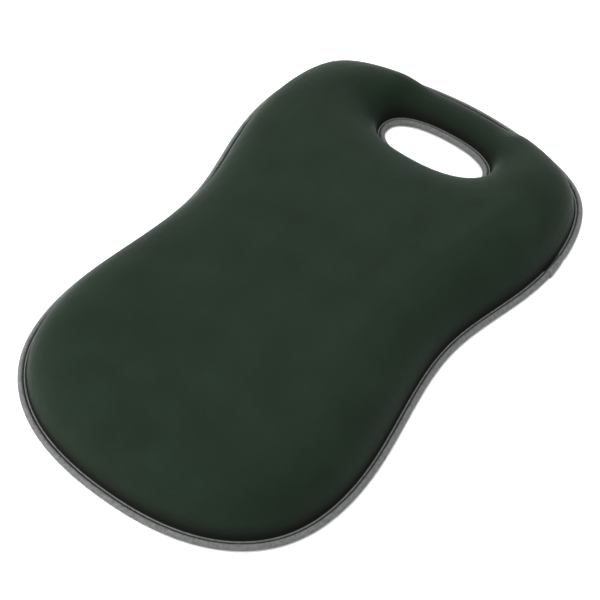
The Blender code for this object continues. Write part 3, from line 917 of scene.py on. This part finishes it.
def stitch_row_tree():
    """Sets arched stitches along a path, each turned a little from its neighbours."""
    tree, given = new_geometry_tree("stitch_row", [
        ("Material", "NodeSocketMaterial", None), ("Stitches", "NodeSocketInt", 100),
        ("Length", "NodeSocketFloat", STITCH_LENGTH), ("Thread", "NodeSocketFloat", THREAD_DIAMETER),
        ("Arch", "NodeSocketFloat", STITCH_ARCH), ("Sink", "NodeSocketFloat", STITCH_SINK),
        ("Setback", "NodeSocketFloat", STITCH_SETBACK), ("Height", "NodeSocketFloat", NEEDLE_HEIGHT),
        ("Lap Length", "NodeSocketFloat", LAP_LENGTH), ("Lap Lift", "NodeSocketFloat", 0.0),
        ("Tilt", "NodeSocketFloat", STITCH_TILT), ("Seed", "NodeSocketInt", STITCH_SEED)])
    path = add_node(tree, "GeometryNodeResampleCurve",
                    {"Curve": given["Geometry"], "Count": given["Stitches"]}, mode="COUNT")
    tangent = add_node(tree, "GeometryNodeInputTangent").outputs[0]
    travelled = add_node(tree, "GeometryNodeSplineParameter").outputs["Length"]
    inwards = vector_node(tree, "CROSS_PRODUCT", (0.0, 0.0, 1.0), tangent)
    tilt = add_node(tree, "FunctionNodeRandomValue", {
        "Min": math_node(tree, "MULTIPLY", given["Tilt"], -1.0), "Max": given["Tilt"],
        "Seed": given["Seed"]}, data_type="FLOAT")
    tilted = vector_node(tree, "ADD", tangent, scaled(tree, inwards, tilt.outputs["Value"]))
    line, (heading, side, along) = captured(tree, path.outputs["Curve"], [
        ("VECTOR", "Heading", tilted), ("VECTOR", "Inwards", inwards), ("FLOAT", "Along", travelled)])
    lift = math_node(tree, "MULTIPLY", lap_share(tree, along, given), given["Lap Lift"])
    height = math_node(tree, "ADD", given["Height"], lift)
    offset = vector_node(tree, "ADD", scaled(tree, side, given["Setback"]),
                         scaled(tree, (0.0, 0.0, 1.0), height))
    row = add_node(tree, "GeometryNodeSetPosition", {"Geometry": line, "Offset": offset})

    reach = math_node(tree, "MULTIPLY", given["Length"], 0.5)
    low = math_node(tree, "MULTIPLY", given["Sink"], -1.0)
    arch = add_node(tree, "GeometryNodeCurveQuadraticBezier", {
        "Resolution": 5,
        "Start": add_node(tree, "ShaderNodeCombineXYZ", {
            "X": math_node(tree, "MULTIPLY", reach, -1.0), "Z": low}).outputs[0],
        "Middle": add_node(tree, "ShaderNodeCombineXYZ", {"Z": given["Arch"]}).outputs[0],
        "End": add_node(tree, "ShaderNodeCombineXYZ", {"X": reach, "Z": low}).outputs[0]})
    thread = add_node(tree, "GeometryNodeCurvePrimitiveCircle", {
        "Resolution": 6, "Radius": math_node(tree, "MULTIPLY", given["Thread"], 0.5)})
    stitch = add_node(tree, "GeometryNodeCurveToMesh", {
        "Curve": arch.outputs["Curve"], "Profile Curve": thread.outputs["Curve"], "Fill Caps": True})
    smooth = add_node(tree, "GeometryNodeSetShadeSmooth", {"Geometry": stitch.outputs["Mesh"]})
    turned = add_node(tree, "FunctionNodeAlignRotationToVector", {"Vector": heading}, axis="X")
    laid = add_node(tree, "GeometryNodeInstanceOnPoints", {
        "Points": row.outputs["Geometry"], "Instance": smooth.outputs["Geometry"],
        "Rotation": turned.outputs["Rotation"]})
    whole = add_node(tree, "GeometryNodeRealizeInstances", {"Geometry": laid.outputs["Instances"]})
    worn = add_node(tree, "GeometryNodeSetMaterial",
                    {"Geometry": whole.outputs["Geometry"], "Material": given["Material"]})
    add_node(tree, "NodeGroupOutput", {"Geometry": worn.outputs["Geometry"]})
    return tree


thread_material, tree, shader, place = new_finish("dark_polyester_thread", 0.55)
shader.inputs["Specular IOR Level"].default_value = 0.2
strands = add_node(tree, "ShaderNodeTexNoise", {"Vector": place, "Scale": STRAND_SCALE, "Detail": 2.0})
colour_between(tree, shader, strands.outputs["Fac"], [(0.3, THREAD_DARK), (0.7, THREAD_LIGHT)])
add_relief(tree, shader, [(strands.outputs["Fac"], STRAND_DEPTH)])

stitch_tree = stitch_row_tree()
needle = {"Material": thread_material, "Height": NEEDLE_HEIGHT}
bobbin = {"Material": thread_material, "Height": BOBBIN_HEIGHT, "Arch": -STITCH_ARCH, "Sink": -STITCH_SINK}
rows = [
    ("edge_needle_stitches", edge_path, "edge_needle_thread",
     {**needle, "Stitches": edge_stitches, "Lap Lift": LAP_LIFT}),
    ("edge_bobbin_stitches", edge_path, "edge_bobbin_thread",
     {**bobbin, "Stitches": edge_stitches, "Lap Lift": LAP_GROUND_GAP - BOBBIN_HEIGHT + THREAD_DIAMETER / 2}),
    ("hole_needle_stitches", hole_path, "hole_needle_thread", {**needle, "Stitches": hole_stitches}),
    ("hole_bobbin_stitches", hole_path, "hole_bobbin_thread", {**bobbin, "Stitches": hole_stitches}),
]
for name, path, node, values in rows:
    stitches = built(name, path, stitch_tree, values)
    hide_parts(node)
    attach(stitches, "root")

bpy.data.objects.remove(edge_path, do_unlink=True)
bpy.data.objects.remove(hole_path, do_unlink=True)
